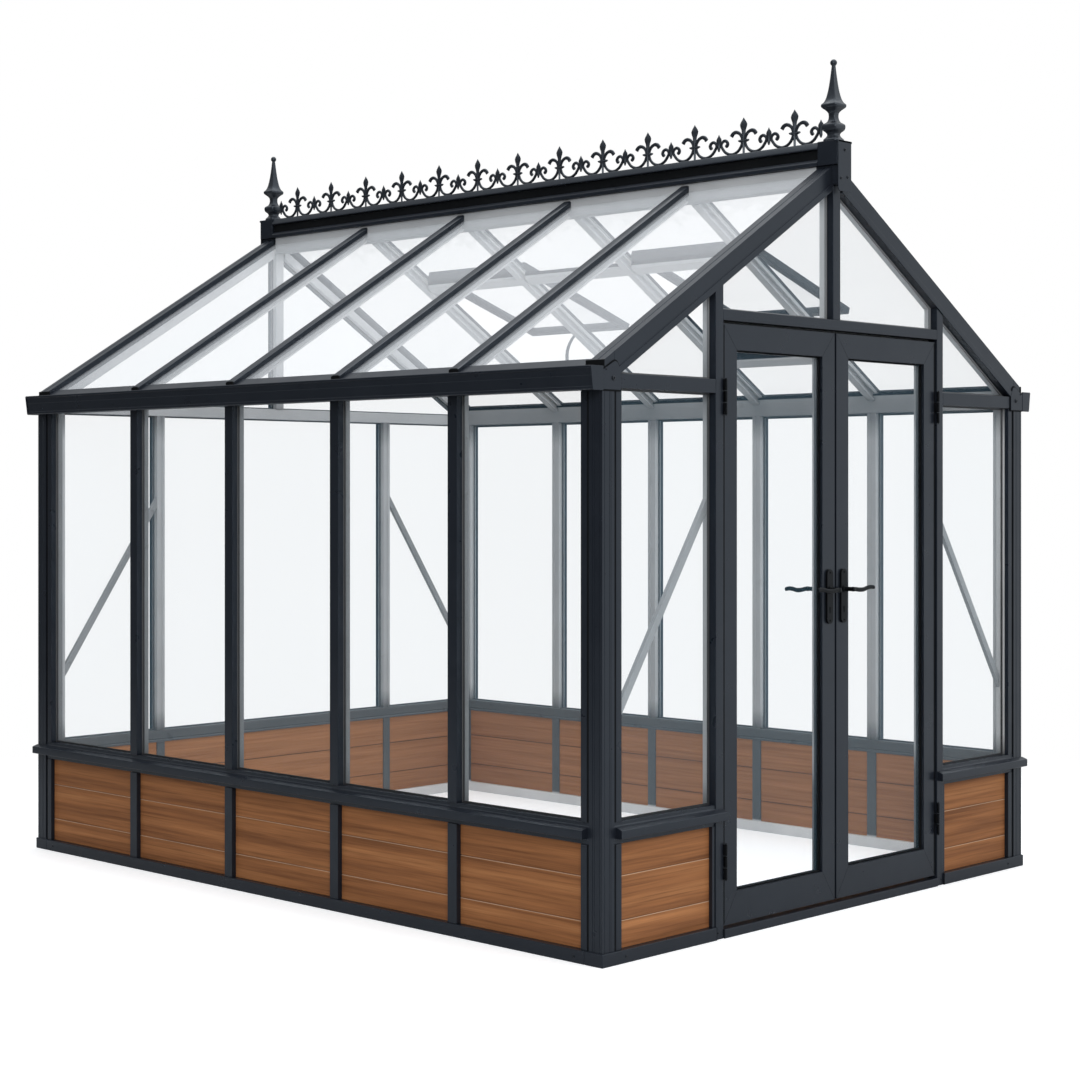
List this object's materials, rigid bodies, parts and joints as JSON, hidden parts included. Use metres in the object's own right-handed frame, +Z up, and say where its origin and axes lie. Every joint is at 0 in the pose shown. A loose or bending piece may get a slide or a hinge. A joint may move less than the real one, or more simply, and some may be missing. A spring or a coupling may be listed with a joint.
{
  "type": "victorian greenhouse",
  "caption": "Walk-in gabled glasshouse with an aluminium frame, low boarded panels, double doors, side gutters and a ridge with fleur-de-lis cresting and finials, for growing plants.",
  "frame": {"origin": "bottom centre of the bounding box, on the ground under the building", "axes": "+X to the right when facing the doors from outside, +Y from the door gable to the back gable along the ridge, +Z up"},
  "size_m": [2.544, 3.188, 2.96],
  "materials": {
    "frame": "satin powder coat, anthracite",
    "boards": "brown wood-grain planks",
    "glass": "clear sheet",
    "ornament": "satin powder coat, anthracite",
    "hardware": "satin black"
  },
  "bodies": {
    "house": {"side_base_rails": "frame", "gable_base_rails": "frame", "door_threshold": "frame", "corner_posts": "frame", "door_posts": "frame", "left_wall_bars": "frame", "right_wall_bars": "frame", "gable_wall_bars": "frame", "side_sills": "frame", "gable_sills": "frame", "eave_beams": "frame", "left_gutter": "frame", "right_gutter": "frame", "gable_eave_rails": "frame", "gable_rafters": "frame", "door_header": "frame", "king_posts": "frame", "eave_brackets": "frame", "gable_braces": "frame", "left_roof_bars": "frame", "right_roof_bars": "frame", "ridge_beam": "frame", "ridge_end_caps": "frame", "roof_vent_frames": "frame", "roof_vent_stays": "frame", "roof_vent_trimmers": "frame", "left_wall_boards": "boards", "right_wall_boards": "boards", "front_wall_boards": "boards", "back_wall_boards": "boards", "left_wall_glass": "glass", "right_wall_glass": "glass", "front_wall_glass": "glass", "back_wall_glass": "glass", "front_gable_glass": "glass", "back_gable_glass": "glass", "left_roof_glass": "glass", "right_roof_glass": "glass", "roof_vent_glass": "glass", "ridge_finials": "ornament", "ridge_cresting": "ornament", "door_hinge_butts": "hardware"},
    "left_door": {"left_door_frame": "frame", "left_door_glass": "glass", "left_door_hinges": "hardware", "left_door_handle_plates": "hardware"},
    "right_door": {"right_door_frame": "frame", "right_door_glass": "glass", "right_door_hinges": "hardware", "right_door_handle_plates": "hardware"},
    "left_lever": {"left_door_lever": "hardware"},
    "right_lever": {"right_door_lever": "hardware"}
  },
  "joints": [
    {"name": "left_door_hinge", "type": "hinge", "parent": "house", "child": "left_door", "pos_m": [-0.622, -1.556, 1], "axis": [0, 0, -1], "range_deg": [0, 110]},
    {"name": "right_door_hinge", "type": "hinge", "parent": "house", "child": "right_door", "pos_m": [0.622, -1.556, 1], "axis": [0, 0, 1], "range_deg": [0, 110]},
    {"name": "left_lever_turn", "type": "hinge", "parent": "left_door", "child": "left_lever", "pos_m": [-0.041, -1.574, 1.117], "axis": [0, -1, 0], "range_deg": [0, 40], "stiffness_Nm_per_rad": 2},
    {"name": "right_lever_turn", "type": "hinge", "parent": "right_door", "child": "right_lever", "pos_m": [0.041, -1.574, 1.117], "axis": [0, 1, 0], "range_deg": [0, 40], "stiffness_Nm_per_rad": 2}
  ]
}
